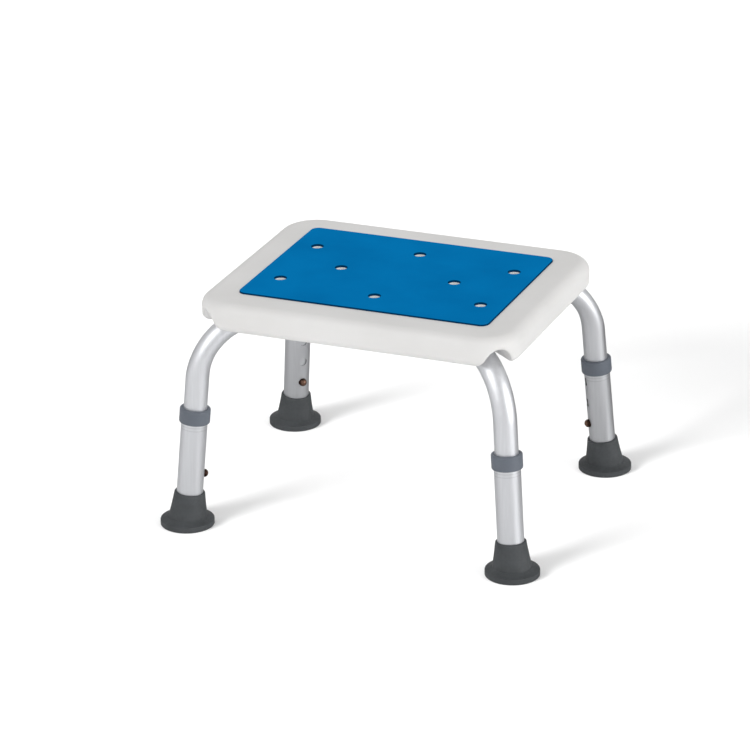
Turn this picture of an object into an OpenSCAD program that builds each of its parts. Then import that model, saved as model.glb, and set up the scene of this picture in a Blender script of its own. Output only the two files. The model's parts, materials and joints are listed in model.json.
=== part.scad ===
// Low shower stool: a moulded seat with a soft pad on two crossed aluminium
// U-tubes, and four height-adjustable legs that lock with spring buttons.
// Origin: on the floor under the middle of the seat, legs at their shortest.
// +X runs along the long side, -Y is the front, +Z is up. Millimetres.

/* [Seat] */
// Height of the seat's top surface above the floor, legs shortest
seat_height = 257.6; // [240:0.2:320]
// Length of the seat along X
seat_l = 361; // [340:1:440]
// Width of the seat along Y
seat_w = 293; // [280:1:360]
// Thickness of the seat
seat_t = 32; // [30:0.5:42]
// Plan radius of the seat's corners
seat_corner_r = 42; // [36:1:56]
// Rounding of the top edge
seat_top_r = 12; // [6:0.5:14]
// Rounding of the bottom edge
seat_bottom_r = 10; // [6:0.5:12]
// Wall of the hollow moulding
seat_wall = 3; // [2:0.25:4]

/* [Pad] */
// Length of the pad
pad_l = 284; // [260:1:300]
// Width of the pad
pad_w = 215; // [200:1:230]
// Thickness of the pad
pad_t = 3; // [2:0.25:6]
// Plan radius of the pad's corners
pad_corner_r = 9; // [4:0.5:20]
// Depth of the pocket that the pad is glued into
pad_recess = 1; // [0.5:0.25:1.5]
// Gap between the pad and the side of its pocket
pad_gap = 0.4; // [0.2:0.1:1]

/* [Drain holes] */
// Diameter of the holes in the pad
pad_hole_d = 13.5; // [12:0.5:16]
// Diameter of the holes through the seat
seat_hole_d = 11; // [8:0.5:12]
// Corner holes: distance from the middle along X
hole_corner_x = 115; // [105:1:120]
// Corner holes: distance from the middle along Y
hole_corner_y = 52; // [45:1:60]
// Front and back holes: distance from the middle
hole_middle_y = 67; // [60:1:80]
// Side holes: distance from the middle
hole_middle_x = 65.5; // [60:0.5:75]

/* [Frame tubes] */
// Outer diameter of the frame tubes
tube_od = 25.4; // [22:0.02:31]
// Wall of the frame tubes
tube_wall = 1.2; // [1:0.1:1.5]
// Centre-line radius of the bend over each leg
bend_r = 70; // [60:1:80]
// How much the tube thins in the bend, on the radius
bend_thinning = 0.1; // [0.05:0.05:0.5]
// Outward lean of each leg from upright, degrees
splay = 5.2; // [2:0.1:8]
// Distance of each foot from the middle along X
foot_x = 187.6; // [180:0.2:220]
// Distance of each foot from the middle along Y
foot_y = 150.7; // [145:0.1:180]
// Thickness of the seat over the tubes, pad pocket included
tube_cover = 13; // [12:0.5:16]
// Gap between a tube and its channel
channel_gap = 0.4; // [0.2:0.1:1]
// Gap between a tube and the arched mouth where it leaves the corner
mouth_gap = 4.3; // [3:0.1:6]
// Gap between the two pressed flats where the tubes cross
cross_gap = 0.4; // [0.2:0.1:1]
// Length of the sloped end of each pressed flat
cross_ramp = 13; // [8:1:20]

/* [Lower legs] */
// Wall of the lower legs
leg_wall = 1.3; // [1:0.1:2]
// Sliding gap all round between a frame tube and a lower leg
leg_gap = 0.3; // [0.25:0.05:0.5]
// Distance between adjusting holes
hole_pitch = 25.4; // [20:0.02:31]
// Number of adjusting holes in each lower leg
hole_count = 3; // [2:1:3]
// Distance from the top of the foot up to the lowest adjusting hole
button_rise = 20.5; // [12:0.5:24]
// Length of frame tube below the button
tube_tail = 14; // [10:1:18]
// Distance from the top adjusting hole up to the collar
collar_rise = 9.6; // [6:0.2:14]

/* [Collars] */
// Thickness of the collars around the leg
collar_wall = 2.45; // [2:0.05:4]
// Height of the collars
collar_h = 16.5; // [14:0.5:24]
// Thickness of the lip over the end of the lower leg
collar_lip = 2.5; // [1.5:0.25:4]
// Rounding of the collar's edges
collar_edge_r = 1.6; // [0.5:0.1:2]
// Grip of the collar or foot on its leg, on the diameter
grip = 0.2; // [0.1:0.05:0.4]

/* [Feet] */
// Diameter of the foot on the floor
foot_d = 58.8; // [50:0.2:70]
// Height of the foot along the leg
foot_h = 37.5; // [34:0.5:46]
// Height at which the neck rises from the broad base
foot_base_h = 9.7; // [8:0.1:14]
// Height of the rim around the base
foot_rim_h = 6.5; // [4:0.1:7.5]
// Thickness of the foot's neck around the leg at its top
foot_wall = 2.5; // [2:0.1:4]
// How much wider the neck is where it meets the base, on the radius
foot_flare = 4.7; // [2:0.1:6]
// Thickness of rubber under the leg
foot_floor_t = 9; // [6:0.5:12]
// Depth of the grooves in the sole
sole_groove = 1; // [0.5:0.25:2]
// Thickness of the steel washer inside the foot
foot_washer_t = 1.5; // [1:0.25:2]

/* [Spring buttons] */
// Diameter of the buttons
button_d = 9; // [7:0.1:11]
// Gap all round between a button and its holes
button_gap = 0.3; // [0.2:0.05:0.5]
// How far a button stands out of the leg
button_out = 5; // [4.6:0.1:6]
// Thickness of the spring leaf
leaf_t = 0.8; // [0.5:0.1:1]
// Width of the spring leaf
leaf_w = 8; // [6:0.5:9]
// Diameter of the rivet that holds a button on its leaf
rivet_d = 4; // [3:0.5:5]

/* [Fasteners] */
// Diameter of the seat screws
screw_d = 5; // [4:0.5:6]
// Distance of the seat screws from the middle
screw_r = 110; // [90:1:125]
// Diameter of the centre bolt
bolt_d = 6; // [5:0.5:8]
// Length of a threaded insert
insert_l = 8; // [6:0.5:8]
// Wall of a threaded insert
insert_wall = 1.8; // [1.2:0.1:2.5]
// Thickness of the washers
washer_t = 1.2; // [0.8:0.1:1.6]

/* [Hidden] */

$fn = 96;
// Overlap that carries a cut cleanly past a face
eps = 1;

// Plan direction of each leg from the middle
diagonal = atan2(foot_y, foot_x);
front_right = -diagonal;
back_right = diagonal;
back_left = 180 - diagonal;
front_left = 180 + diagonal;

// Seat levels
seat_bottom_z = seat_height - seat_t;
cavity_top_z = seat_height - pad_recess - seat_wall;

// Frame tubes: straight run, bend and leg, all in one upright plane
tube_r = tube_od / 2;
tube_bore_r = tube_r - tube_wall;
tube_z = seat_height - tube_cover - tube_r;
channel_r = tube_r + channel_gap;
// How far a channel's straight sides stand inside its round part
channel_nip = 0.1;
foot_reach = norm([foot_x, foot_y]);
bend_z = tube_z - bend_r;
bend_x = foot_reach - bend_z * tan(splay) - bend_r / cos(splay);
bend_end_s = (bend_z + bend_r * sin(splay)) / cos(splay);
button_s = foot_h + button_rise;
tube_end_s = button_s - tube_tail;
// Degrees by which the bend runs into the straight tube at each end
bend_overlap = 1;

// The crossing: two lines at twice the diagonal angle
cross_angle = 2 * diagonal;
cross_spare = 1;
cross_flat = (tube_r + channel_gap) / sin(cross_angle) + tube_r / abs(tan(cross_angle)) + cross_spare;

// The arched mouth starts inside the channel and its top stays above the bend
mouth_r = tube_r + mouth_gap;
mouth_drop = 1;
mouth_z = seat_bottom_z - mouth_drop;
mouth_past_bend = 16.8;
mouth_start = bend_x + mouth_past_bend;
mouth_lap = 6;

// Lower legs
leg_bore_r = tube_r + leg_gap;
leg_r = leg_bore_r + leg_wall;
leg_grip_r = leg_r - grip / 2;
leg_bottom_s = foot_floor_t + foot_washer_t;
top_hole_s = button_s + (hole_count - 1) * hole_pitch;
collar_bottom_s = top_hole_s + collar_rise;
collar_top_s = collar_bottom_s + collar_h;
collar_r = leg_r + collar_wall;
leg_top_s = collar_top_s - collar_lip;
ring_depth = 0.2;
ring_w = 1;
ring_step = 3.5;

// Feet
foot_rim_r = foot_d / 2;
foot_top_r = leg_r + foot_wall;
foot_neck_r = foot_top_r + foot_flare;
foot_lip = 1.2;
// Angle at which the lip's rounding leaves the neck's slope
lip_start = 8;
// Height at which the neck's cone starts inside the base, and its radius there
neck_root = foot_base_h / 3;
neck_root_r = foot_top_r + foot_flare * (foot_h - neck_root) / (foot_h - foot_base_h);
sole_edge = 0.8;
rim_edge = 0.6;
sole_rings = 3;
sole_ring_w = 3;
washer_play = 0.3;

// Spring buttons
button_r = button_d / 2;
button_hole_d = button_d + 2 * button_gap;
leaf_play = 0.3;
leaf_x = sqrt(pow(tube_bore_r, 2) - pow(leaf_w / 2, 2)) - leaf_play;
leaf_tail = 9;
leaf_reach = 36;
leaf_bend_r = 4.6;
rivet_head_d = rivet_d + 2;
rivet_head_t = 0.8;
rivet_gap = 0.3;

// Fasteners
insert_z = tube_z + channel_r;
tube_under_z = tube_z - tube_r;
screw_clear = 0.3;
thread_grip = 0.1;
boss_wall = 2;
head_rim = 2.5;
head_t = 3;
head_round = 1.8;
recess_w = 1;
recess_depth = 1.5;
// Distance that a screw stays below the end of its insert
screw_short = 1;
washer_rim = 3.3;
knurl_gap = 1;
knurl_depth = 0.4;

// ---- shared shapes ----

// Points of an arc, for outlines
function arc(c, r, a0, a1, n) =
    [for (i = [0 : n]) let (a = a0 + (a1 - a0) * i / n) [c[0] + r * cos(a), c[1] + r * sin(a)]];

// Upright section through the rim of a slab: square inside, rounded outside
module rim_section(depth, t, top_r, bottom_r) {
    polygon(concat(
        [[0, 0]],
        arc([depth - bottom_r, bottom_r], bottom_r, -90, 0, 14),
        arc([depth - top_r, t - top_r], top_r, 0, 90, 16),
        [[0, t]]
    ));
}

// A slab with rounded plan corners and rounded edges, standing on z = 0
module rounded_slab(l, w, t, corner_r, top_r, bottom_r) {
    core_l = l - 2 * corner_r;
    core_w = w - 2 * corner_r;
    translate([-core_l / 2, -core_w / 2, 0]) cube([core_l, core_w, t]);
    for (side = [0, 1]) {
        rotate([0, 0, 180 * side]) translate([core_l / 2, core_w / 2, 0])
            rotate([90, 0, 0]) linear_extrude(core_w)
            rim_section(corner_r, t, top_r, bottom_r);
        rotate([0, 0, 90 + 180 * side]) translate([core_w / 2, core_l / 2, 0])
            rotate([90, 0, 0]) linear_extrude(core_l)
            rim_section(corner_r, t, top_r, bottom_r);
    }
    for (sx = [-1, 1], sy = [-1, 1])
        translate([sx * core_l / 2, sy * core_w / 2, 0])
            rotate([0, 0, sx > 0 ? (sy > 0 ? 0 : -90) : (sy > 0 ? 90 : 180)])
            rotate_extrude(angle = 90)
            rim_section(corner_r, t, top_r, bottom_r);
}

// A plate with rounded plan corners
module rounded_plate(l, w, t, corner_r) {
    translate([-l / 2 + corner_r, -w / 2, 0]) cube([l - 2 * corner_r, w, t]);
    translate([-l / 2, -w / 2 + corner_r, 0]) cube([l, w - 2 * corner_r, t]);
    for (sx = [-1, 1], sy = [-1, 1])
        translate([sx * (l / 2 - corner_r), sy * (w / 2 - corner_r), 0]) cylinder(h = t, r = corner_r);
}

// Children at every drain hole
module at_holes() {
    for (sx = [-1, 1], sy = [-1, 1]) translate([sx * hole_corner_x, sy * hole_corner_y, 0]) children();
    for (s = [-1, 1]) translate([0, s * hole_middle_y, 0]) children();
    for (s = [-1, 1]) translate([s * hole_middle_x, 0, 0]) children();
}

// Children at every seat screw
module at_screws() {
    for (a = [front_right, back_right, back_left, front_left])
        rotate([0, 0, a]) translate([screw_r, 0, 0]) children();
}

// Children in a leg's own frame: Z up along the leg from the floor, +X away from the middle
module on_leg(a) {
    rotate([0, 0, a]) translate([foot_reach, 0, 0]) rotate([0, -splay, 0]) children();
}

// ---- seat and pad ----

// Lengthwise groove under the seat for one tube, with its wall when grow > 0
module channel(grow) {
    r = channel_r + grow;
    reach = mouth_start + mouth_lap;
    translate([-reach, 0, tube_z]) rotate([0, 90, 0]) cylinder(h = 2 * reach, r = r);
    translate([-reach, channel_nip - r, seat_bottom_z - eps])
        cube([2 * reach, 2 * (r - channel_nip), tube_z - seat_bottom_z + eps]);
    for (s = [-1, 1])
        translate([s > 0 ? mouth_start : -seat_l, 0, mouth_z]) rotate([0, 90, 0])
            cylinder(h = seat_l - mouth_start, r = mouth_r + grow);
}

module seat_solid() {
    translate([0, 0, seat_bottom_z])
        rounded_slab(seat_l, seat_w, seat_t, seat_corner_r, seat_top_r, seat_bottom_r);
}

// The hollow inside the moulding, kept off every groove, hole and boss
module seat_cavity() {
    difference() {
        translate([0, 0, seat_bottom_z + seat_wall])
            rounded_slab(seat_l - 2 * seat_wall, seat_w - 2 * seat_wall,
                cavity_top_z - seat_bottom_z - seat_wall, seat_corner_r - seat_wall,
                seat_top_r - seat_wall, seat_bottom_r - seat_wall);
        for (a = [front_right, back_right]) rotate([0, 0, a]) channel(seat_wall);
        at_holes() cylinder(h = seat_height, r = seat_hole_d / 2 + seat_wall);
        at_screws() cylinder(h = seat_height, r = screw_d / 2 + insert_wall + boss_wall);
        cylinder(h = seat_height, r = bolt_d / 2 + insert_wall + boss_wall);
    }
}

module seat_shell() {
    color([0.87, 0.87, 0.86]) difference() {
        seat_solid();
        seat_cavity();
        for (a = [front_right, back_right]) rotate([0, 0, a]) channel(0);
        at_holes() cylinder(h = seat_height + eps, d = seat_hole_d);
        translate([0, 0, seat_height - pad_recess])
            rounded_plate(pad_l + 2 * pad_gap, pad_w + 2 * pad_gap, pad_recess + eps, pad_corner_r + pad_gap);
        at_screws() translate([0, 0, tube_z]) cylinder(h = insert_z + insert_l - tube_z,
            r = screw_d / 2 + insert_wall - thread_grip / 2);
        translate([0, 0, tube_z]) cylinder(h = insert_z + insert_l - tube_z,
            r = bolt_d / 2 + insert_wall - thread_grip / 2);
    }
}

module seat_pad() {
    color([0.01, 0.44, 0.67]) translate([0, 0, seat_height - pad_recess]) difference() {
        rounded_plate(pad_l, pad_w, pad_t, pad_corner_r);
        translate([0, 0, -eps]) at_holes() cylinder(h = pad_t + 2 * eps, d = pad_hole_d);
    }
}

// ---- frame tubes ----

// A solid rod along one half of a U: straight run, bend and leg. The bend is drawn
// a little thinner than the rest, and runs a little way into its neighbours.
module half_run(r, extra) {
    translate([0, 0, tube_z]) rotate([0, 90, 0]) cylinder(h = bend_x, r = r);
    translate([bend_x, 0, bend_z]) rotate([-90, 0, 0])
        mirror([0, 1, 0]) rotate([0, 0, splay - bend_overlap])
        rotate_extrude(angle = 90 - splay + 2 * bend_overlap)
        translate([bend_r, 0]) circle(r - bend_thinning);
    on_leg(0) translate([0, 0, tube_end_s - extra])
        cylinder(h = bend_end_s - tube_end_s + extra, r = r);
}

// The space pressed out of one side of a tube where the other crosses it
module press_cut(side, inset) {
    depth = cross_gap / 2 - inset;
    half = cross_flat - inset;
    mirror([0, 0, side > 0 ? 0 : 1])
        translate([0, tube_od, 0]) rotate([90, 0, 0]) linear_extrude(2 * tube_od)
        polygon([
            [-half - cross_ramp, -tube_od],
            [-half, depth],
            [half, depth],
            [half + cross_ramp, -tube_od]
        ]);
}

// side = 1 keeps the upper half at the crossing, side = -1 the lower half
module frame_tube(a, side) {
    color([0.78, 0.79, 0.80]) rotate([0, 0, a]) difference() {
        difference() {
            union() {
                half_run(tube_r, 0);
                rotate([0, 0, 180]) half_run(tube_r, 0);
            }
            translate([0, 0, tube_z]) press_cut(side, 0);
        }
        difference() {
            union() {
                half_run(tube_bore_r, eps);
                rotate([0, 0, 180]) half_run(tube_bore_r, eps);
            }
            translate([0, 0, tube_z]) press_cut(side, -tube_wall);
        }
        for (end = [0, 180]) rotate([0, 0, end]) {
            on_leg(0) translate([-tube_od, 0, button_s]) rotate([0, 90, 0])
                cylinder(h = tube_od, d = button_hole_d);
            translate([screw_r, 0, tube_z - tube_od])
                cylinder(h = 2 * tube_od, d = screw_d + 2 * screw_clear);
        }
        translate([0, 0, tube_z - tube_od]) cylinder(h = 2 * tube_od, d = bolt_d + 2 * screw_clear);
    }
}

module upper_frame_tube() {
    frame_tube(back_right, 1);
}

module lower_frame_tube() {
    frame_tube(front_right, -1);
}

// ---- fasteners ----

// A pan-head fastener standing up from its head, with a cross recess
module pan_head(shank_d, shank_l) {
    shank_r = shank_d / 2;
    head_r = shank_r + head_rim;
    difference() {
        rotate_extrude() polygon(concat(
            [[0, 0]],
            arc([head_r - head_round, head_round], head_round, -90, 0, 8),
            [[head_r, head_t], [shank_r, head_t]],
            [[shank_r, head_t + shank_l], [0, head_t + shank_l]]
        ));
        for (turn = [0, 90]) rotate([0, 0, turn])
            translate([-head_r / 2, -recess_w / 2, -eps]) cube([head_r, recess_w, eps + recess_depth]);
    }
}

// A flat washer standing up from z = 0
module flat_washer(hole_d) {
    difference() {
        cylinder(h = washer_t, d = hole_d + 2 * washer_rim);
        translate([0, 0, -eps]) cylinder(h = washer_t + 2 * eps, d = hole_d);
    }
}

module centre_bolt() {
    color([0.70, 0.71, 0.72]) translate([0, 0, tube_under_z - washer_t - head_t])
        pan_head(bolt_d, washer_t + insert_z + insert_l - tube_under_z - screw_short);
}

module centre_washer() {
    color([0.66, 0.67, 0.68]) translate([0, 0, tube_under_z - washer_t])
        flat_washer(bolt_d + 2 * screw_clear);
}

module seat_screws() {
    color([0.70, 0.71, 0.72]) at_screws() translate([0, 0, tube_under_z - washer_t - head_t])
        pan_head(screw_d, washer_t + insert_z + insert_l - tube_under_z - screw_short);
}

module screw_washers() {
    color([0.66, 0.67, 0.68]) at_screws() translate([0, 0, tube_under_z - washer_t])
        flat_washer(screw_d + 2 * screw_clear);
}

// A knurled insert moulded into the seat above the tube
module threaded_insert(thread_d) {
    outer_r = thread_d / 2 + insert_wall;
    translate([0, 0, insert_z]) difference() {
        cylinder(h = insert_l, r = outer_r);
        translate([0, 0, -eps]) cylinder(h = insert_l + 2 * eps, d = thread_d - thread_grip);
        translate([0, 0, (insert_l - knurl_gap) / 2]) difference() {
            cylinder(h = knurl_gap, r = outer_r + eps);
            translate([0, 0, -eps]) cylinder(h = knurl_gap + 2 * eps, r = outer_r - knurl_depth);
        }
    }
}

module threaded_inserts() {
    color([0.72, 0.58, 0.30]) {
        at_screws() threaded_insert(screw_d);
        threaded_insert(bolt_d);
    }
}

// ---- legs ----

module lower_leg(a) {
    color([0.80, 0.81, 0.82]) on_leg(a) difference() {
        translate([0, 0, leg_bottom_s]) cylinder(h = leg_top_s - leg_bottom_s, r = leg_r);
        translate([0, 0, leg_bottom_s - eps])
            cylinder(h = leg_top_s - leg_bottom_s + 2 * eps, r = leg_bore_r);
        for (i = [0 : hole_count - 1])
            translate([-2 * leg_r, 0, button_s + i * hole_pitch]) rotate([0, 90, 0])
                cylinder(h = 2 * leg_r, d = button_hole_d);
        for (i = [1, 2])
            translate([0, 0, collar_bottom_s - i * ring_step]) difference() {
                cylinder(h = ring_w, r = leg_r + eps);
                translate([0, 0, -eps]) cylinder(h = ring_w + 2 * eps, r = leg_r - ring_depth);
            }
    }
}

module collar(a) {
    color([0.37, 0.40, 0.44]) on_leg(a) rotate_extrude() polygon(concat(
        [[leg_grip_r, collar_bottom_s]],
        arc([collar_r - collar_edge_r, collar_bottom_s + collar_edge_r], collar_edge_r, -90, 0, 8),
        arc([collar_r - collar_edge_r, collar_top_s - collar_edge_r], collar_edge_r, 0, 90, 8),
        [
            [leg_bore_r, collar_top_s],
            [leg_bore_r, leg_top_s],
            [leg_grip_r, leg_top_s]
        ]
    ));
}

// One round groove in the sole, with its bottom at z = 0
module sole_ring(ring) {
    middle_r = ring * foot_rim_r / (sole_rings + 1);
    difference() {
        cylinder(h = sole_groove + eps, r = middle_r + sole_ring_w / 2);
        translate([0, 0, -eps]) cylinder(h = sole_groove + 3 * eps, r = middle_r - sole_ring_w / 2);
    }
}

// The broad base stands upright on the floor, and the neck leans with the leg
module foot(a) {
    color([0.25, 0.26, 0.27]) difference() {
        union() {
            rotate([0, 0, a]) translate([foot_reach, 0, 0]) rotate_extrude() polygon([
                [0, 0],
                [foot_rim_r - sole_edge, 0],
                [foot_rim_r, sole_edge],
                [foot_rim_r, foot_rim_h - rim_edge],
                [foot_rim_r - rim_edge, foot_rim_h],
                [foot_neck_r, foot_base_h],
                [0, foot_base_h]
            ]);
            on_leg(a) rotate_extrude() polygon(concat(
                [[0, neck_root], [neck_root_r, neck_root]],
                arc([foot_top_r - foot_lip, foot_h - foot_lip], foot_lip, lip_start, 90, 6),
                [[0, foot_h]]
            ));
        }
        on_leg(a) translate([0, 0, foot_floor_t]) cylinder(h = foot_h, r = leg_grip_r);
        rotate([0, 0, a]) translate([foot_reach, 0, -eps]) for (ring = [1 : sole_rings]) sole_ring(ring);
    }
}

module foot_washer(a) {
    color([0.55, 0.56, 0.57]) on_leg(a) translate([0, 0, foot_floor_t]) difference() {
        cylinder(h = foot_washer_t, r = leg_grip_r - washer_play);
        translate([0, 0, -eps]) cylinder(h = foot_washer_t + 2 * eps, d = screw_d);
    }
}

// ---- spring clips and buttons ----

// A bent strip of spring steel inside the end of a frame tube
module spring_clip(a) {
    inner_r = leaf_bend_r - leaf_t;
    leaf_bend_s = button_s + leaf_reach;
    foot_s = button_s - leaf_tail;
    knee_s = button_s + leaf_tail;
    color([0.62, 0.63, 0.64]) on_leg(a) difference() {
        translate([0, leaf_w / 2, 0]) rotate([90, 0, 0]) linear_extrude(leaf_w) polygon(concat(
            [[leaf_x, foot_s], [leaf_x, knee_s]],
            arc([0, leaf_bend_s], leaf_bend_r, 0, 180, 16),
            [[-leaf_x, knee_s], [-leaf_x, foot_s], [leaf_t - leaf_x, foot_s], [leaf_t - leaf_x, knee_s]],
            arc([0, leaf_bend_s], inner_r, 180, 0, 16),
            [[leaf_x - leaf_t, knee_s], [leaf_x - leaf_t, foot_s]]
        ));
        translate([-tube_r, 0, button_s]) rotate([0, 90, 0])
            cylinder(h = tube_r, d = rivet_d + 2 * rivet_gap);
    }
}

// A domed button whose rivet passes through the spring leaf
module snap_button(a) {
    tip = leg_r + button_out;
    color([0.50, 0.36, 0.28]) on_leg(a) translate([0, 0, button_s]) rotate([0, -90, 0])
        rotate_extrude() polygon(concat(
            [[0, leaf_x - leaf_t - rivet_head_t],
             [rivet_head_d / 2, leaf_x - leaf_t - rivet_head_t],
             [rivet_head_d / 2, leaf_x - leaf_t],
             [rivet_d / 2, leaf_x - leaf_t],
             [rivet_d / 2, leaf_x],
             [button_r, leaf_x]],
            arc([0, tip - button_r], button_r, 0, 90, 16)
        ));
}

seat_shell();
seat_pad();
upper_frame_tube();
lower_frame_tube();
centre_bolt();
centre_washer();
seat_screws();
screw_washers();
threaded_inserts();
lower_leg(front_left);  // lower_leg_front_left
lower_leg(front_right);  // lower_leg_front_right
lower_leg(back_left);  // lower_leg_back_left
lower_leg(back_right);  // lower_leg_back_right
collar(front_left);  // collar_front_left
collar(front_right);  // collar_front_right
collar(back_left);  // collar_back_left
collar(back_right);  // collar_back_right
foot(front_left);  // foot_front_left
foot(front_right);  // foot_front_right
foot(back_left);  // foot_back_left
foot(back_right);  // foot_back_right
foot_washer(front_left);  // foot_washer_front_left
foot_washer(front_right);  // foot_washer_front_right
foot_washer(back_left);  // foot_washer_back_left
foot_washer(back_right);  // foot_washer_back_right
spring_clip(front_left);  // spring_clip_front_left
spring_clip(front_right);  // spring_clip_front_right
spring_clip(back_left);  // spring_clip_back_left
spring_clip(back_right);  // spring_clip_back_right
snap_button(front_left);  // snap_button_front_left
snap_button(front_right);  // snap_button_front_right
snap_button(back_left);  // snap_button_back_left
snap_button(back_right);  // snap_button_back_right
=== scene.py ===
import json
import math

import bmesh
import bpy
import numpy as np
from mathutils import Matrix, Vector


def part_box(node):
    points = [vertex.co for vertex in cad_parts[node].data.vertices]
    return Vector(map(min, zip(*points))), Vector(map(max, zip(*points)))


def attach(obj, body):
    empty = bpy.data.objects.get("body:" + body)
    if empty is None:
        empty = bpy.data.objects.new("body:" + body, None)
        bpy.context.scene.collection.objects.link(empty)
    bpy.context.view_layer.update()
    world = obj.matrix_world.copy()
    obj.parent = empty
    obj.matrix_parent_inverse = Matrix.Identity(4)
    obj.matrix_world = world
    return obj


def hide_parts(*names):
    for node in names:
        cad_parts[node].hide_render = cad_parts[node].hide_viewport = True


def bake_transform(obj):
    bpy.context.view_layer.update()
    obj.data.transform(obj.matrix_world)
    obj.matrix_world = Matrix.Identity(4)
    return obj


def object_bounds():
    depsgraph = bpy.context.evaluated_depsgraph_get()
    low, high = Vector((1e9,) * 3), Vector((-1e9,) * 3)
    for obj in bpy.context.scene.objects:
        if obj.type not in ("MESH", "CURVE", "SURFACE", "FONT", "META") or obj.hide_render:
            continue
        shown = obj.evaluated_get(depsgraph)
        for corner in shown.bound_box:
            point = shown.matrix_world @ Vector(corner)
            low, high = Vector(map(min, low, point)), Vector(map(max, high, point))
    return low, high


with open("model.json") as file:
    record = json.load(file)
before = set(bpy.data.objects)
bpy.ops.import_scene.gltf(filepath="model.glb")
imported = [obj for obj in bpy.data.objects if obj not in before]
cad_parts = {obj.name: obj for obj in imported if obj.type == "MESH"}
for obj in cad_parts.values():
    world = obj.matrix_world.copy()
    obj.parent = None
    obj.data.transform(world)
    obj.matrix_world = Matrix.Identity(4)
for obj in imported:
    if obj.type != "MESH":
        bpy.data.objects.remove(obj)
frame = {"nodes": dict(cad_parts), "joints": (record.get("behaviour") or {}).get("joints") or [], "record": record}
cad_low, cad_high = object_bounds()

MM = 0.001
LEGS = ("front_left", "front_right", "back_left", "back_right")
ROUND = 96

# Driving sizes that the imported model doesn't list, in metres
SEAT_CORNER_R = 42 * MM
SEAT_TOP_R = 12 * MM
SEAT_BOTTOM_R = 10 * MM
PAD_CORNER_R = 9 * MM
PAD_EDGE_R = 0.8 * MM
PAD_RECESS = 1 * MM
PAD_GAP = 0.4 * MM
PAD_HOLE_R = 6.75 * MM
SEAT_HOLE_R = 5.5 * MM
HOLES = (
    [(sx * 115 * MM, sy * 52 * MM) for sx in (-1, 1) for sy in (-1, 1)]
    + [(0, sy * 67 * MM) for sy in (-1, 1)]
    + [(sx * 65.5 * MM, 0) for sx in (-1, 1)]
)
BEND_R = 70 * MM
CHANNEL_GAP = 0.4 * MM
MOUTH_R = 17 * MM
MOUTH_PAST_BEND = 16.8 * MM
CROSS_GAP = 0.4 * MM
CROSS_HALF = 17 * MM
CROSS_RAMP = 13 * MM
SCREW_R = 110 * MM
SCREW_HOLE_R = 2.8 * MM
BOLT_HOLE_R = 3.3 * MM
SCREW_POCKET_R = 4.25 * MM
BOLT_POCKET_R = 4.75 * MM
RIM_H = 6.5 * MM
BASE_H = 9.7 * MM
NECK_R = 21.5 * MM
BUTTON_HOLE_R = 4.8 * MM

# Round edges of the seat's grooves and mouths, and the cell of the net that its mesh is made on
GROOVE_EDGE_R = 3.2 * MM
MOUTH_EDGE_R = 3 * MM
MOUTH_JOIN_R = 2.5 * MM
MOUTH_DROP = 1 * MM
SEAT_HOLE_EDGE_R = 0.8 * MM
SEAT_NET_STEP = 1.75 * MM

# How much a bent tube narrows in the plane of its bend, and widens across it
BEND_NARROWS = 0.11
BEND_WIDENS = 0.015

# Strengths of the lights, and the side in degrees where the key and the floor's own sun stand
FLOOR_GLOW = 0.07
WORLD_STRENGTH = 0.63
SIDE_STRENGTH = 1.5
KEY_STRENGTH = 1.05
GRAZE_STRENGTH = 4.8
LIGHT_AZIMUTH = 240

# Camera, in degrees and metres. The aim is counted from the middle of the CAD box
CAMERA_AZIMUTH = 22.023
CAMERA_ELEVATION = 22.139
CAMERA_ROLL = -0.598
CAMERA_DISTANCE = 4.5211
CAMERA_LENS_MM = 199.06
CAMERA_AIM = Vector((-25.14, -5.36, 11.16)) * MM


# ---- measured from the frame ----

def local_points(node, matrix):
    """The corners of a CAD node's mesh in the axes of matrix."""
    inverse = matrix.inverted()
    return np.array([inverse @ v.co for v in frame["nodes"][node].data.vertices])


def leg_axes(leg):
    """Matrix of a leg's own frame: Z up along the leg from the floor, +X away from the middle."""
    joints = {j["name"]: j for j in frame["joints"]}
    up = -Vector(joints["leg_slide_" + leg]["axis"])
    out = Vector(joints["button_press_" + leg]["axis"])
    low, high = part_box("foot_" + leg)
    matrix = Matrix((out, up.cross(out), up)).transposed().to_4x4()
    matrix.translation = ((low.x + high.x) / 2, (low.y + high.y) / 2, 0)
    return matrix


AXES = {leg: leg_axes(leg) for leg in LEGS}
SEAT_LOW, SEAT_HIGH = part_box("seat_shell")
PAD_LOW, PAD_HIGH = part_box("seat_pad")
leg_points = local_points("lower_leg_front_right", AXES["front_right"])
tube_points = local_points("lower_frame_tube", AXES["front_right"])
foot_points = local_points("foot_front_right", AXES["front_right"])
button_points = local_points("snap_button_front_right", AXES["front_right"])
LEG_R = np.hypot(leg_points[:, 0], leg_points[:, 1]).max()
LEG_TOP = leg_points[:, 2].max()
low_tube = tube_points[tube_points[:, 2] < LEG_TOP]
low_tube = low_tube[np.hypot(low_tube[:, 0], low_tube[:, 1]) < LEG_R]
TUBE_R = np.hypot(low_tube[:, 0], low_tube[:, 1]).max()
TUBE_BORE_R = np.hypot(low_tube[:, 0], low_tube[:, 1]).min()
TUBE_END = low_tube[:, 2].min()
BUTTON_S = (button_points[:, 2].min() + button_points[:, 2].max()) / 2
TUBE_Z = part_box("upper_frame_tube")[1].z - TUBE_R
FOOT_TOP = foot_points[:, 2].max()
FOOT_LOW, FOOT_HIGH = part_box("foot_front_right")
FOOT_R = (FOOT_HIGH.x - FOOT_LOW.x) / 2
FOOT_REACH = AXES["front_right"].translation.xy.length
SPLAY = math.acos(AXES["front_right"].col[2].z)
BEND_Z = TUBE_Z - BEND_R
BEND_X = FOOT_REACH - BEND_Z * math.tan(SPLAY) - BEND_R / math.cos(SPLAY)


# ---- mesh helpers ----

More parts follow.
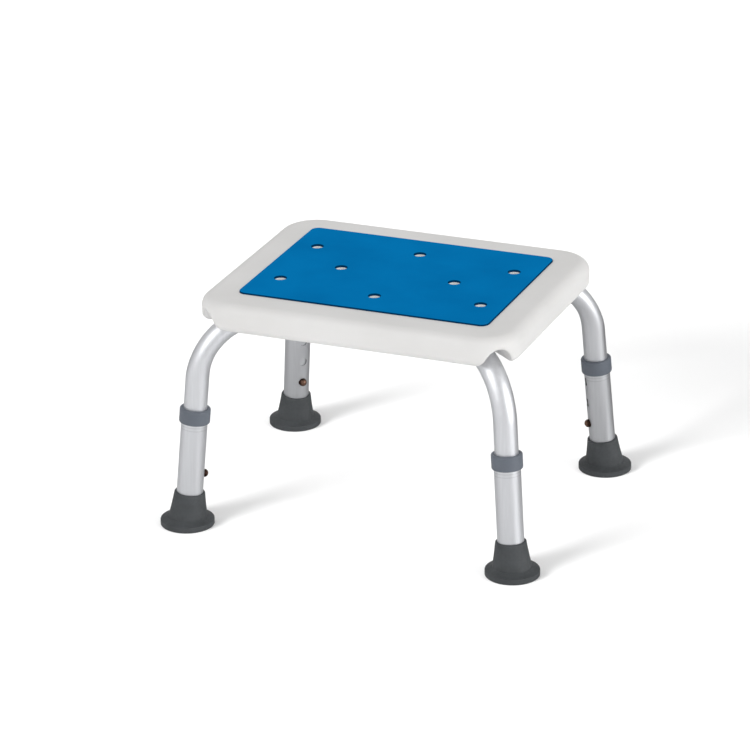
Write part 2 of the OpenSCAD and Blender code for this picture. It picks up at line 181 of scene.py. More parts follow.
def smooth_step(x, start, end):
    t = np.clip((x - start) / (end - start), 0, 1)
    return t * t * (3 - 2 * t)


def smooth_max(a, b, k):
    """The larger of two distances, blended into a round edge about k wide."""
    h = np.maximum(k - np.abs(a - b), 0) / k
    return np.maximum(a, b) + h * h * k / 4


def new_piece(name, vertices, faces, sharp=math.radians(35)):
    """A shown object made of a list of corners and faces, shaded smooth up to an angle."""
    mesh = bpy.data.meshes.new(name)
    mesh.from_pydata([tuple(v) for v in vertices], [], [tuple(int(i) for i in f) for f in faces])
    mesh.validate()
    piece = bpy.data.objects.new(name, mesh)
    bpy.context.scene.collection.objects.link(piece)
    shade(piece, sharp)
    return piece


def shade(piece, sharp=math.radians(35)):
    piece.data.shade_smooth()
    piece.data.set_sharp_from_angle(angle=sharp)


def surface_net(field, low, high, step):
    """Closed quad mesh of the surface where field(x, y, z) is zero, slid exactly onto it."""
    axes = [np.arange(low[i], high[i] + step, step) for i in range(3)]
    grid = np.meshgrid(*axes, indexing="ij")
    inside = field(*grid) < 0
    cells = [n - 1 for n in inside.shape]
    filled = np.zeros(cells, int)
    for dx in (0, 1):
        for dy in (0, 1):
            for dz in (0, 1):
                filled += inside[dx:cells[0] + dx, dy:cells[1] + dy, dz:cells[2] + dz]
    crossed = (filled > 0) & (filled < 8)
    index = np.full(cells, -1)
    index[crossed] = np.arange(crossed.sum())
    where = np.argwhere(crossed)
    points = np.array([axes[i][where[:, i]] + step / 2 for i in range(3)])
    for _ in range(8):
        points = slide(field, points, step)
    faces = []
    for axis in range(3):
        faces += crossing_quads(inside, index, axis)
    return points.T, np.concatenate(faces)


def slide(field, points, step):
    """Moves points one step along the field's slope towards its zero surface."""
    h = step * 0.02
    value = field(*points)
    slope = []
    for axis in range(3):
        offset = np.zeros((3, 1))
        offset[axis] = h
        slope.append((field(*(points + offset)) - field(*(points - offset))) / (2 * h))
    slope = np.array(slope)
    size = np.maximum((slope ** 2).sum(0), 0.05)
    return points - np.clip(value / size, -step, step) * slope


def crossing_quads(inside, index, axis):
    """One quad round each grid line along axis that the surface crosses."""
    b, c = [(1, 2), (2, 0), (0, 1)][axis]
    order = (axis, b, c)
    flags = inside.transpose(order)
    cells = index.transpose(order)
    first, second = flags[:-1, 1:-1, 1:-1], flags[1:, 1:-1, 1:-1]
    quads = []
    for leaving in (True, False):
        i, j, k = np.nonzero((first & ~second) if leaving else (~first & second))
        ring = [cells[i, j, k], cells[i, j + 1, k], cells[i, j + 1, k + 1], cells[i, j, k + 1]]
        quads.append(np.array(ring if leaving else ring[::-1]).T)
    return quads


def lathe(profile, segments=ROUND):
    """Corners and faces of a closed outline of (radius, z) turned about Z. Both ends lie on the axis."""
    vertices, faces = [], []
    ring = []
    for r, z in profile:
        if r < 1e-9:
            ring.append([len(vertices)])
            vertices.append((0, 0, z))
        else:
            ring.append(list(range(len(vertices), len(vertices) + segments)))
            for i in range(segments):
                a = 2 * math.pi * i / segments
                vertices.append((r * math.cos(a), r * math.sin(a), z))
    for a, b in zip(ring, ring[1:]):
        for i in range(segments):
            j = (i + 1) % segments
            if len(a) == 1:
                faces.append((a[0], b[j], b[i]))
            elif len(b) == 1:
                faces.append((a[i], a[j], b[0]))
            else:
                faces.append((a[i], a[j], b[j], b[i]))
    return vertices, faces


def arc(centre, radius, start, end, steps):
    """Points of an arc, angles in degrees."""
    angles = [math.radians(start + (end - start) * i / steps) for i in range(steps + 1)]
    return [(centre[0] + radius * math.cos(a), centre[1] + radius * math.sin(a)) for a in angles]


def moved(vertices, matrix):
    return [matrix @ Vector(v) for v in vertices]


def combine(piece, other, operation):
    """Cuts other from piece, or joins it, and deletes other."""
    modifier = piece.modifiers.new("combine", "BOOLEAN")
    modifier.operation = operation
    modifier.solver = "MANIFOLD"
    modifier.object = other
    bpy.context.view_layer.objects.active = piece
    bpy.ops.object.modifier_apply(modifier=modifier.name)
    bpy.data.objects.remove(other)


def cutter(profile, place, segments=ROUND):
    vertices, faces = lathe(profile, segments)
    return new_piece("cutter", moved(vertices, place), faces)


def rod(radius, low, high):
    """Outline of a plain round rod, for lathe()."""
    return [(0, low), (radius, low), (radius, high), (0, high)]


def round_rectangle(half_x, half_y, corner_r, steps):
    """Outline of a rectangle with round corners, each of this many steps."""
    outline = []
    for turn, (sx, sy) in enumerate(((1, 1), (-1, 1), (-1, -1), (1, -1))):
        centre = (sx * (half_x - corner_r), sy * (half_y - corner_r))
        outline += arc(centre, corner_r, turn * 90, turn * 90 + 90, steps)
    return outline


def at(x, y, z=0):
    return Matrix.Translation((x, y, z))


# ---- seat ----

def slab_field(x, y, z):
    """Distance to the seat's outer form: a slab with round corners and soft edges."""
    half = (SEAT_HIGH - SEAT_LOW) / 2
    middle_z = (SEAT_HIGH.z + SEAT_LOW.z) / 2
    qx = np.abs(x) - (half.x - SEAT_CORNER_R)
    qy = np.abs(y) - (half.y - SEAT_CORNER_R)
    plan = np.hypot(np.maximum(qx, 0), np.maximum(qy, 0)) + np.minimum(np.maximum(qx, qy), 0) - SEAT_CORNER_R
    edge = np.where(z > middle_z, SEAT_TOP_R, SEAT_BOTTOM_R)
    side = plan + edge
    level = np.abs(z - middle_z) - (half.z - edge)
    return np.hypot(np.maximum(side, 0), np.maximum(level, 0)) + np.minimum(np.maximum(side, level), 0) - edge


def groove_field(along, across, z):
    """Distance to the groove of one tube, which widens into an arched mouth at each end."""
    groove_r = TUBE_R + CHANNEL_GAP
    groove = np.where(z > TUBE_Z, np.hypot(across, z - TUBE_Z), np.abs(across)) - groove_r
    mouth_z = SEAT_LOW.z - MOUTH_DROP
    mouth = np.where(z > mouth_z, np.hypot(across, z - mouth_z), np.abs(across)) - MOUTH_R
    mouth_start = BEND_X + MOUTH_PAST_BEND
    mouth = smooth_max(mouth, mouth_start - np.abs(along), MOUTH_EDGE_R)
    return -smooth_max(-groove, -mouth, MOUTH_JOIN_R)


def seat_field(x, y, z):
    distance = slab_field(x, y, z)
    for leg in ("front_right", "back_right"):
        out = AXES[leg].translation.xy.normalized()
        along = x * out.x + y * out.y
        across = y * out.x - x * out.y
        distance = smooth_max(distance, -groove_field(along, across, z), GROOVE_EDGE_R)
    return distance


def hole_outline(radius, top, bottom, flare):
    """Outline of a drain hole's cutter, whose ends open out in a round edge."""
    above = 2 * MM
    return (
        [(0, bottom - above), (radius + flare, bottom - above)]
        + arc((radius + flare, bottom + flare), flare, 270, 180, 6)
        + arc((radius + flare, top - flare), flare, 180, 90, 6)
        + [(radius + flare, top + above), (0, top + above)]
    )


def make_seat():
    margin = Vector((4, 4, 4)) * MM
    vertices, faces = surface_net(seat_field, SEAT_LOW - margin, SEAT_HIGH + margin, SEAT_NET_STEP)
    seat = new_piece("moulded_seat", vertices, faces)
    floor_z = SEAT_HIGH.z - PAD_RECESS
    pocket = plate("pocket", PAD_HIGH.x + PAD_GAP, PAD_HIGH.y + PAD_GAP, PAD_CORNER_R + PAD_GAP,
                   floor_z, SEAT_HIGH.z + 2 * MM)
    combine(seat, pocket, "DIFFERENCE")
    for x, y in HOLES:
        outline = hole_outline(SEAT_HOLE_R, floor_z, SEAT_LOW.z, SEAT_HOLE_EDGE_R)
        combine(seat, cutter(outline, at(x, y), 48), "DIFFERENCE")
    insert_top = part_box("threaded_inserts")[1].z
    for x, y, radius in insert_places():
        combine(seat, cutter(rod(radius, TUBE_Z, insert_top), at(x, y), 48), "DIFFERENCE")
    shade(seat, math.radians(30))
    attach(seat, "frame")
    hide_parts("seat_shell")
    return seat


def insert_places():
    """Middle and radius of the pocket of each threaded insert."""
    places = [(0, 0, BOLT_POCKET_R)]
    for leg in LEGS:
        out = AXES[leg].translation.xy.normalized() * SCREW_R
        places.append((out.x, out.y, SCREW_POCKET_R))
    return places


def plate(name, half_x, half_y, corner_r, low, high):
    """A plain plate with round plan corners."""
    outline = round_rectangle(half_x, half_y, corner_r, 12)
    n = len(outline)
    vertices = [(x, y, low) for x, y in outline] + [(x, y, high) for x, y in outline]
    faces = [tuple(range(n))[::-1], tuple(range(n, 2 * n))]
    faces += [(i, (i + 1) % n, n + (i + 1) % n, n + i) for i in range(n)]
    return new_piece(name, vertices, faces)


# ---- pad ----

def pad_curve():
    """The pad's outline and drain holes, filled and thickened, with round edges above and below."""
    curve = bpy.data.curves.new("pad_outline", "CURVE")
    curve.dimensions = "2D"
    curve.fill_mode = "BOTH"
    loops = [round_rectangle(PAD_HIGH.x, PAD_HIGH.y, PAD_CORNER_R, 14)]
    sides = 64
    for x, y in HOLES:
        loops.append(arc((x, y), PAD_HOLE_R, 0, 360 * (sides - 1) / sides, sides - 1))
    for loop in loops:
        spline = curve.splines.new("POLY")
        spline.points.add(len(loop) - 1)
        for point, (x, y) in zip(spline.points, loop):
            point.co = (x, y, 0, 1)
        spline.use_cyclic_u = True
    curve.bevel_depth = PAD_EDGE_R
    curve.bevel_resolution = 4
    curve.offset = -PAD_EDGE_R
    curve.extrude = (PAD_HIGH.z - PAD_LOW.z) / 2 - PAD_EDGE_R
    return curve


def make_pad():
    """The foam sheet. Its lower edge is square, and its top is cut into a grid that can wave."""
    holder = bpy.data.objects.new("pad_outline", pad_curve())
    bpy.context.scene.collection.objects.link(holder)
    holder.location.z = (PAD_HIGH.z + PAD_LOW.z) / 2
    bpy.context.view_layer.update()
    mesh = bpy.data.meshes.new_from_object(holder.evaluated_get(bpy.context.evaluated_depsgraph_get()))
    mesh.transform(holder.matrix_world)
    bpy.data.objects.remove(holder)
    form = bmesh.new()
    form.from_mesh(mesh)
    bmesh.ops.remove_doubles(form, verts=form.verts, dist=1e-6)
    step = 6 * MM
    for axis, limit in ((0, PAD_HIGH.x), (1, PAD_HIGH.y)):
        for i in range(int(-limit / step), int(limit / step) + 1):
            normal = [0, 0, 0]
            normal[axis] = 1
            point = [0, 0, 0]
            point[axis] = i * step
            bmesh.ops.bisect_plane(form, geom=form.verts[:] + form.edges[:] + form.faces[:],
                                   dist=1e-7, plane_co=point, plane_no=normal)
    for v in form.verts:
        if v.co.z < PAD_LOW.z + 0.99 * PAD_EDGE_R:
            v.co.z = PAD_LOW.z
        else:
            v.co.z -= foam_dip(v.co)
    bmesh.ops.recalc_face_normals(form, faces=form.faces)
    form.to_mesh(mesh)
    form.free()
    pad = bpy.data.objects.new("foam_pad", mesh)
    bpy.context.scene.collection.objects.link(pad)
    shade(pad, math.radians(50))
    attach(pad, "frame")
    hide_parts("seat_pad")
    return pad


def foam_dip(point):
    """How far the pad's top dips: soft waves, and a shallow dish round each drain hole."""
    if point.z < (PAD_HIGH.z + PAD_LOW.z) / 2:
        return 0
    x, y = point.x / MM, point.y / MM
    hole_r = PAD_HOLE_R / MM
    dish_w = 7
    waves = 0.06 + 0.03 * math.sin(x / 31 + 1.3 * math.sin(y / 43)) + 0.03 * math.cos(y / 27 - x / 71)
    dish = 0
    for hx, hy in HOLES:
        from_rim = math.hypot(x - hx / MM, y - hy / MM) - hole_r
        dish += math.exp(-(from_rim / dish_w) ** 2)
    return (waves + 0.16 * dish) * MM


# ---- frame tubes ----

def half_path():
    """Stations of half a U: (distance out, height, turn, how far into the bend from 0 to 1)."""
    stations = []
    straight = int(BEND_X / (2.5 * MM))
    for i in range(straight):
        stations.append((BEND_X * i / straight, TUBE_Z, 0, 0))
    turn_end = math.pi / 2 - SPLAY
    steps = 44
    for i in range(steps + 1):
        turn = turn_end * i / steps
        depth = math.sin(math.pi * i / steps)
        x = BEND_X + BEND_R * math.sin(turn)
        z = BEND_Z + BEND_R * math.cos(turn)
        stations.append((x, z, turn, depth))
    bend_end = (BEND_Z + BEND_R * math.sin(SPLAY)) / math.cos(SPLAY)
    steps = 24
    for i in range(1, steps + 1):
        s = bend_end + (TUBE_END - bend_end) * i / steps
        stations.append((FOOT_REACH - s * math.sin(SPLAY), s * math.cos(SPLAY), turn_end, 0))
    return stations


def tube_ring(station, side, radius, wall, segments):
    """Corners round the tube at one station. side is 1 where the tube keeps its upper half."""
    x, z, turn, depth = station
    oval = smooth_step(depth, 0.0, 0.9)
    in_plane = radius * (1 - BEND_NARROWS * oval)
    across = radius * (1 + BEND_WIDENS * oval)
    mirror = -1 if x < 0 else 1
    pressed = 1 - smooth_step(abs(x), CROSS_HALF, CROSS_HALF + CROSS_RAMP)
    flat = -1.3 * TUBE_R + (1.3 * TUBE_R + CROSS_GAP / 2 + wall) * pressed
    ring = []
    for i in range(segments):
        a = 2 * math.pi * i / segments
        n = in_plane * math.sin(a)
        if pressed > 0:
            n = side * float(smooth_max(side * n, flat, 1.6 * MM))
        ring.append((x + mirror * n * math.sin(turn), across * math.cos(a), z + n * math.cos(turn)))
    return ring


def make_tube(node, leg, side):
    """A bent tube with a wall: an outer and an inner skin joined at both cut ends."""
    half = half_path()
    stations = [(-x, z, turn, depth) for x, z, turn, depth in half[:0:-1]] + half
    segments = 72
    wall = TUBE_R - TUBE_BORE_R
    vertices = []
    for radius, inset in ((TUBE_R, 0), (TUBE_BORE_R, wall)):
        for station in stations:
            vertices += tube_ring(station, side, radius, inset, segments)
    count = len(stations)
    faces = []
    for skin in (0, 1):
        base = skin * count * segments
        for s in range(count - 1):
            for i in range(segments):
                j = (i + 1) % segments
                quad = [base + s * segments + i, base + s * segments + j,
                        base + (s + 1) * segments + j, base + (s + 1) * segments + i]
                faces.append(quad if skin else quad[::-1])
    inner = count * segments
    for s in (0, count - 1):
        for i in range(segments):
            j = (i + 1) % segments
            quad = [s * segments + i, s * segments + j, inner + s * segments + j, inner + s * segments + i]
            faces.append(quad[::-1] if s else quad)
    out = AXES[leg].translation.xy.normalized()
    place = Matrix(((out.x, -out.y, 0), (out.y, out.x, 0), (0, 0, 1))).to_4x4()
    tube = new_piece(node + "_bent", moved(vertices, place), faces)
    opposite = {"front_right": "back_left", "back_right": "front_left"}[leg]
    for end in (leg, opposite):
        hole = rod(BUTTON_HOLE_R, 0, 2 * TUBE_R)
        turn = AXES[end] @ at(0, 0, BUTTON_S) @ Matrix.Rotation(-math.pi / 2, 4, "Y")
        combine(tube, cutter(hole, turn, 48), "DIFFERENCE")
        spot = AXES[end].translation.xy.normalized() * SCREW_R
        hole = rod(SCREW_HOLE_R, TUBE_Z - 2 * TUBE_R, TUBE_Z + 2 * TUBE_R)
        combine(tube, cutter(hole, at(spot.x, spot.y), 32), "DIFFERENCE")
    hole = rod(BOLT_HOLE_R, TUBE_Z - 2 * TUBE_R, TUBE_Z + 2 * TUBE_R)
    combine(tube, cutter(hole, at(0, 0), 32), "DIFFERENCE")
    shade(tube, math.radians(35))
    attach(tube, "frame")
    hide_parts(node)
    return tube


# ---- feet ----

def foot_base_outline():
    """Upright base: grooved sole, straight rim, then a slightly hollow slope up to the neck."""
    r = FOOT_R
    outline = [(0, 0)]
    for groove in (1, 2, 3):
        middle = groove * r / 4
        outline += [(middle - 1.9 * MM, 0), (middle - 1.3 * MM, 1 * MM),
                    (middle + 1.3 * MM, 1 * MM), (middle + 1.9 * MM, 0)]
    edge = 0.9 * MM
    outline += arc((r - edge, edge), edge, 270, 360, 6)
    outline += arc((r - edge, RIM_H - edge), edge, 0, 75, 6)
    steps = 10
    slope_r = r - 1.2 * MM
    for i in range(1, steps + 1):
        t = i / steps
        hollow = 0.35 * MM * math.sin(math.pi * t)
        outline.append((slope_r + (NECK_R - slope_r) * t, RIM_H + (BASE_H - RIM_H) * t - hollow))
    return outline + [(0, BASE_H)]


def foot_neck_outline():
    """Leaning neck: widest at the base, slightly hollow in the middle, with a soft lip."""
    root, lip = 3.2 * MM, 1.3 * MM
    narrow = LEG_R + 2.5 * MM
    wide = narrow + (NECK_R - narrow) * (FOOT_TOP - root) / (FOOT_TOP - BASE_H)
    outline = [(0, root)]
    steps = 20
    for i in range(steps):
        t = i / steps
        hollow = 0.45 * MM * math.sin(math.pi * t)
        outline.append((wide + (narrow - wide) * t - hollow, root + (FOOT_TOP - lip - root) * t))
    outline += arc((narrow - lip, FOOT_TOP - lip), lip, 8, 90, 6)
    return outline + [(0, FOOT_TOP)]


def make_foot(leg):
    axes = AXES[leg]
    centre = axes.translation
    vertices, faces = lathe(foot_base_outline())
    foot = new_piece("rubber_foot_" + leg, moved(vertices, at(centre.x, centre.y)), faces)
    combine(foot, cutter(foot_neck_outline(), axes), "UNION")
    grip_r = LEG_R - 0.1 * MM
    floor_s = local_points("foot_washer_" + leg, axes)[:, 2].min()
    combine(foot, cutter(rod(grip_r, floor_s, 2 * FOOT_TOP), axes), "DIFFERENCE")
    shade(foot, math.radians(28))
    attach(foot, "leg_" + leg)
    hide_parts("foot_" + leg)
    return foot


# ---- snap buttons ----

def make_button(leg):
    """A domed button on its rivet, with a flat rubbed into the tip of the dome."""
    axes = AXES[leg]
    points = local_points("snap_button_" + leg, axes)
    tip, root = -points[:, 0].min(), -points[:, 0].max()
    radius = (points[:, 2].max() - points[:, 2].min()) / 2
    head_r, head_t, rivet_r = 3 * MM, 0.8 * MM, 2 * MM
    leaf = root + 2 * head_t
    outline = [(0, root), (head_r - 0.2 * MM, root), (head_r, root + 0.2 * MM), (head_r, root + head_t),
               (rivet_r, root + head_t), (rivet_r, leaf)]
    outline += [(radius, leaf), (radius, tip - radius)]
    outline += arc((0, tip - radius), radius, 4, 72, 16)
    outline += [(0.16 * radius, tip - 0.06 * MM), (0, tip - 0.06 * MM)]
    place = axes @ at(0, 0, BUTTON_S) @ Matrix.Rotation(-math.pi / 2, 4, "Y")
    vertices, faces = lathe(outline, 64)
    button = new_piece("domed_button_" + leg, moved(vertices, place), faces)
    # Painted highlight and shade: 1 on the tip of the dome and 0 down its sides, where the finish colours the
    # button near black.
    tip_highlight = button.data.color_attributes.new("tip_highlight", "FLOAT_COLOR", "POINT")
    for item, (x, y, z) in zip(tip_highlight.data, vertices):
        highlight_share = float(smooth_step(z, tip - 0.72 * radius, tip - 0.1 * radius))
        item.color = (highlight_share, highlight_share, highlight_share, 1)
    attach(button, "button_" + leg)
    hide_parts("snap_button_" + leg)
    return button


def make_leaf(leg):
    """The spring's strip, a copy of the CAD clip's mesh."""
    node = "spring_clip_" + leg
    leaf = bpy.data.objects.new("leaf_spring_" + leg, frame["nodes"][node].data.copy())
    bpy.context.scene.collection.objects.link(leaf)
    shade(leaf)
    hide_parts(node)
    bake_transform(leaf)
    return leaf


# ---- materials ----

class Finish:
    """A Principled material with short calls for its node work."""

    def __init__(self, name, color, roughness, metallic=0.0):
        self.material = bpy.data.materials.new(name)
        self.material.use_nodes = True
        self.tree = self.material.node_tree
        self.shader = self.tree.nodes["Principled BSDF"]
        self.set("Base Color", (*color, 1))
        self.set("Roughness", roughness)
        self.set("Metallic", metallic)

    def set(self, socket, value):
        self.shader.inputs[socket].default_value = value

    def link(self, source, target):
        self.tree.links.new(source, target)

    def node(self, kind, **values):
        made = self.tree.nodes.new(kind)
        for key, value in values.items():
            setattr(made, key, value)
        return made

    def coordinates(self, stretch=(1, 1, 1), turn=(0, 0, 0), kind="Object"):
        source = self.node("ShaderNodeTexCoord")
        mapping = self.node("ShaderNodeMapping")
        mapping.inputs["Scale"].default_value = stretch
        mapping.inputs["Rotation"].default_value = turn
        self.link(source.outputs[kind], mapping.inputs["Vector"])
        return mapping.outputs["Vector"]

    def noise(self, place, scale, detail=4, roughness=0.5):
        made = self.node("ShaderNodeTexNoise")
        made.inputs["Scale"].default_value = scale
        made.inputs["Detail"].default_value = detail
        made.inputs["Roughness"].default_value = roughness
        self.link(place, made.inputs["Vector"])
        return made.outputs["Fac"]

    def ramp(self, source, low, high, start=0.3, end=0.7):
        """Colours or greys from low to high as source goes from start to end."""
        made = self.node("ShaderNodeValToRGB")
        for element, position, value in zip(made.color_ramp.elements, (start, end), (low, high)):
            element.position = position
            element.color = (*value, 1) if isinstance(value, tuple) else (value, value, value, 1)
        self.link(source, made.inputs["Fac"])
        return made.outputs["Color"]

    def mix(self, share, low, high):
        """low where share is 0, high where it is 1. Each is a colour or a socket."""
        made = self.node("ShaderNodeMix", data_type="RGBA")
        self.link(share, made.inputs["Factor"])
        for name, value in (("A", low), ("B", high)):
            socket = [i for i in made.inputs if i.name == name and i.type == "RGBA"][0]
            if isinstance(value, tuple):
                socket.default_value = (*value, 1)
            else:
                self.link(value, socket)
        return [o for o in made.outputs if o.type == "RGBA"][0]

    def color(self, source):
        self.link(source, self.shader.inputs["Base Color"])

    def roughness(self, source):
        self.link(source, self.shader.inputs["Roughness"])

    def bump(self, source, strength, distance, under=None):
        made = self.node("ShaderNodeBump")
        made.inputs["Strength"].default_value = strength
        made.inputs["Distance"].default_value = distance
        self.link(source, made.inputs["Height"])
        if under is not None:
            self.link(under, made.inputs["Normal"])
        return made.outputs["Normal"]

    def normal(self, source):
        self.link(source, self.shader.inputs["Normal"])


def seat_finish():
    """Off-white blow-moulded polyethylene: waxy, with a soft uneven skin."""
    f = Finish("seat_plastic", (0.66, 0.65, 0.64), 0.46)
    place = f.coordinates()
    f.color(f.ramp(f.noise(place, 9, 3), (0.64, 0.633, 0.623), (0.68, 0.674, 0.666), 0.35, 0.65))
    f.roughness(f.ramp(f.noise(place, 160, 3), 0.42, 0.54))
    broad = f.bump(f.noise(place, 26, 2), 0.25, 0.0012)
    f.normal(f.bump(f.noise(place, 900, 3), 0.22, 0.00015, broad))
    f.set("Subsurface Weight", 0.12)
    f.set("Subsurface Radius", (0.004, 0.0038, 0.0034))
    f.set("Specular IOR Level", 0.45)
    return f.material


def pad_finish():
    """Blue closed-cell foam: matte, with a fine pored skin, and painted shade on its cut edges and hole walls,
    which are coloured dark navy.
    """
    f = Finish("pad_foam", (0.003, 0.16, 0.41), 0.9)
    place = f.coordinates()
    skin = f.ramp(f.noise(place, 14, 3), (0.0002, 0.150, 0.395), (0.0005, 0.172, 0.44), 0.35, 0.65)
    split = f.node("ShaderNodeSeparateXYZ")
    f.link(f.node("ShaderNodeNewGeometry").outputs["Normal"], split.inputs["Vector"])
    # Painted shade: the colour goes to dark navy as a face turns upright, down the cut edges and the walls of the
    # drain holes.
    f.color(f.mix(f.ramp(split.outputs["Z"], 0.0, 1.0, 0.45, 0.95), (0.0003, 0.035, 0.10), skin))
    f.roughness(f.ramp(f.noise(place, 300, 3), 0.84, 0.96))
    grain = f.bump(f.noise(place, 1500, 4, 0.6), 0.35, 0.0002)
    f.normal(f.bump(f.noise(place, 240, 2), 0.12, 0.0004, grain))
    f.set("Specular IOR Level", 0.005)
    return f.material


def aluminium_finish(name, color, roughness, skin=None):
    """Satin anodised tube with upright drawing lines. skin is 1 on the outside and 0 in a punched hole, where the
    colour is painted shade, near black.
    """
    f = Finish(name, color, roughness, 1.0)
    lines = f.coordinates((1, 1, 0.02))
    place = f.coordinates()
    dim = tuple(c * 0.95 for c in color)
    bright = f.ramp(f.noise(lines, 420, 3, 0.6), dim, color, 0.35, 0.65)
    # Painted shade: inside the punched holes, where skin is 0, the colour goes near black.
    f.color(bright if skin is None else f.mix(skin(f), (0.03, 0.03, 0.032), bright))
    f.roughness(f.ramp(f.noise(lines, 260, 3), roughness - 0.04, roughness + 0.06))
    fine = f.bump(f.noise(lines, 1400, 3, 0.6), 0.10, 0.0001)
    f.normal(f.bump(f.noise(place, 60, 2), 0.05, 0.0006, fine))
    return f.material


def leg_finish(leg):
    """The leg's own aluminium, with painted shade on its hole walls and bore, which are coloured near black."""
    def skin(f):
        mapping = f.node("ShaderNodeMapping", vector_type="TEXTURE")
        mapping.inputs["Location"].default_value = AXES[leg].translation
        mapping.inputs["Rotation"].default_value = AXES[leg].to_euler()
        f.link(f.node("ShaderNodeTexCoord").outputs["Object"], mapping.inputs["Vector"])
        flat = f.node("ShaderNodeVectorMath", operation="MULTIPLY")
        flat.inputs[1].default_value = (1, 1, 0)
        f.link(mapping.outputs["Vector"], flat.inputs[0])
        radius = f.node("ShaderNodeVectorMath", operation="LENGTH")
        f.link(flat.outputs["Vector"], radius.inputs[0])
        span = f.node("ShaderNodeMapRange")
        span.inputs["From Min"].default_value = LEG_R - 0.9 * MM
        span.inputs["From Max"].default_value = LEG_R - 0.1 * MM
        f.link(radius.outputs["Value"], span.inputs["Value"])
        return span.outputs["Result"]
    return aluminium_finish("leg_aluminium_" + leg, (0.71, 0.72, 0.745), 0.40, skin)


def collar_finish():
    """Slate-grey moulded nylon with a fine spark-eroded grain."""
    f = Finish("collar_plastic", (0.10, 0.116, 0.14), 0.5)
    place = f.coordinates()
    f.color(f.ramp(f.noise(place, 60, 3), (0.094, 0.108, 0.132), (0.108, 0.124, 0.15)))
    f.roughness(f.ramp(f.noise(place, 500, 3), 0.44, 0.58))
    f.normal(f.bump(f.noise(place, 1600, 3), 0.2, 0.0002))
    return f.material


def rubber_finish():
    """Charcoal rubber: matte and finely grained."""
    f = Finish("foot_rubber", (0.06, 0.064, 0.068), 0.62)
    place = f.coordinates()
    f.color(f.ramp(f.noise(place, 45, 4), (0.036, 0.040, 0.043), (0.052, 0.057, 0.061)))
    f.roughness(f.ramp(f.noise(place, 350, 3), 0.55, 0.72))
    f.normal(f.bump(f.noise(place, 1300, 4, 0.6), 0.3, 0.00025))
    f.set("Specular IOR Level", 0.42)
    return f.material


def metal_finish(name, color, roughness, scale=900):
    """Plain turned or stamped metal with fine scratches."""
    f = Finish(name, color, roughness, 1.0)
    place = f.coordinates()
    dim = tuple(c * 0.82 for c in color)
    f.color(f.ramp(f.noise(place, scale / 5, 3), dim, color))
    f.roughness(f.ramp(f.noise(place, scale, 3), roughness - 0.08, roughness + 0.1))
    f.normal(f.bump(f.noise(place, scale * 1.5, 2), 0.12, 0.00015))
    return f.material


def button_finish():
    """Bronzed button, with painted shade down its sides and a painted highlight on its tip."""
    f = Finish("button_metal", (0.2, 0.1, 0.065), 0.36, 0.9)
    place = f.coordinates()
    tip_highlight = f.node("ShaderNodeVertexColor", layer_name="tip_highlight").outputs["Color"]
    bronze_tone = f.ramp(f.noise(place, 700, 3), (0.15, 0.083, 0.058), (0.25, 0.145, 0.105))
    # Painted shade down the sides, near black, and a painted highlight in bronze on the tip.
    f.color(f.mix(tip_highlight, (0.03, 0.014, 0.010), bronze_tone))
    f.roughness(f.ramp(f.noise(place, 1500, 3), 0.3, 0.46))
    f.normal(f.bump(f.noise(place, 2200, 2), 0.12, 0.00015))
    return f.material


def make_finishes():
    return {
        "seat_plastic": seat_finish(),
        "pad_foam": pad_finish(),
        "frame_aluminium": aluminium_finish("frame_aluminium", (0.74, 0.75, 0.775), 0.44),
        "collar_plastic": collar_finish(),
        "foot_rubber": rubber_finish(),
        "washer_steel": metal_finish("washer_steel", (0.55, 0.56, 0.57), 0.35),
        "screw_steel": metal_finish("screw_steel", (0.6, 0.61, 0.62), 0.3),
        "spring_steel": metal_finish("spring_steel", (0.5, 0.51, 0.52), 0.32),
        "button_metal": button_finish(),
        "insert_brass": metal_finish("insert_brass", (0.6, 0.42, 0.16), 0.35),
    }


def dress(piece, material):
    piece.data.materials.clear()
    piece.data.materials.append(material)


# ---- stage, light and camera ----

def make_stage():
    """A pale floor that glows a little, as a lit table does. The object's gloss sees it darker."""
    half = 14.0
    corners = [(-half, -half, 0), (half, -half, 0), (half, half, 0), (-half, half, 0)]
    mesh = bpy.data.meshes.new("floor")
    mesh.from_pydata(corners, [], [(0, 1, 2, 3)])
    floor = bpy.data.objects.new("floor", mesh)
    bpy.context.scene.collection.objects.link(floor)
    f = Finish("pale_floor", (0.93, 0.93, 0.93), 1.0)
    f.set("Specular IOR Level", 0.0)
    f.color(f.ramp(f.noise(f.coordinates(), 3, 2), 0.925, 0.935))
    f.set("Emission Color", (1, 1, 1, 1))
    f.set("Emission Strength", FLOOR_GLOW)
    split = f.node("ShaderNodeSeparateXYZ")
    f.link(f.node("ShaderNodeTexCoord").outputs["Object"], split.inputs["Vector"])
    dark = f.node("ShaderNodeBsdfDiffuse")
    span = f.node("ShaderNodeMapRange")
    for socket, value in (("From Min", -0.45), ("From Max", 0.45)):
        span.inputs[socket].default_value = value
    f.link(split.outputs["Y"], span.inputs["Value"])
    f.link(f.ramp(span.outputs["Result"], 0.78, 0.15, 0.0, 1.0), dark.inputs["Color"])
    swap = f.node("ShaderNodeMixShader")
    f.link(f.node("ShaderNodeLightPath").outputs["Is Glossy Ray"], swap.inputs["Fac"])
    f.link(f.shader.outputs["BSDF"], swap.inputs[1])
    f.link(dark.outputs["BSDF"], swap.inputs[2])
    f.link(swap.outputs["Shader"], f.tree.nodes["Material Output"].inputs["Surface"])
    dress(floor, f.material)
    return floor


